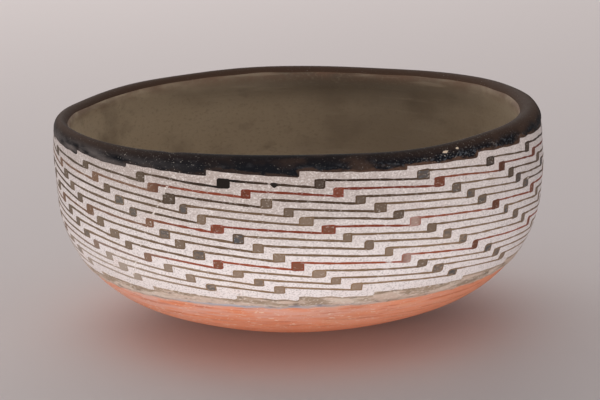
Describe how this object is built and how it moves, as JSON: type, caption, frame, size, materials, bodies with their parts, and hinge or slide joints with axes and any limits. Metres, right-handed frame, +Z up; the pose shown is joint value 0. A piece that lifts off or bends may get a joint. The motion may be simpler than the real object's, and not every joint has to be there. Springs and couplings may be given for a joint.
{
  "type": "painted earthenware bowl",
  "caption": "Hand-built round-bottomed earthenware bowl with an upright wall, a thick rounded lip, a dark rim band and rows of stepped painted lines.",
  "frame": {"origin": "centre of the flat foot under the base, on the surface the bowl stands on", "axes": "+Z up along the bowl's axis, -Y towards the pictured side, +X to the right in the picture"},
  "size_m": [0.2214, 0.2214, 0.0967],
  "materials": {
    "burnished_clay": "burnished orange-red earthenware",
    "body_clay": "plain fired earthenware",
    "buff_slip": "smoothed buff slip, stained",
    "cream_slip": "smoothed cream slip, finely speckled",
    "black_paint": "burnished black-brown slip paint, worn",
    "grey_paint": "worn grey-brown slip paint",
    "brown_paint": "dark brown slip paint",
    "red_paint": "brick red slip paint"
  },
  "bodies": {
    "root": {"base_dish": "burnished_clay", "wall_ring": "body_clay", "rim_coil": "body_clay", "interior_slip": "buff_slip", "cream_slip": "cream_slip", "rim_paint": "black_paint", "lower_border_paint": "grey_paint", "painted_line_01": "brown_paint", "painted_line_02": "red_paint", "painted_line_03": "brown_paint", "painted_line_04": "brown_paint", "painted_line_05": "brown_paint", "painted_line_06": "red_paint", "painted_line_07": "brown_paint", "painted_line_08": "brown_paint", "painted_line_09": "brown_paint", "painted_line_10": "red_paint", "painted_line_11": "brown_paint", "painted_line_12": "brown_paint", "painted_line_13": "brown_paint"}
  },
  "joints": []
}
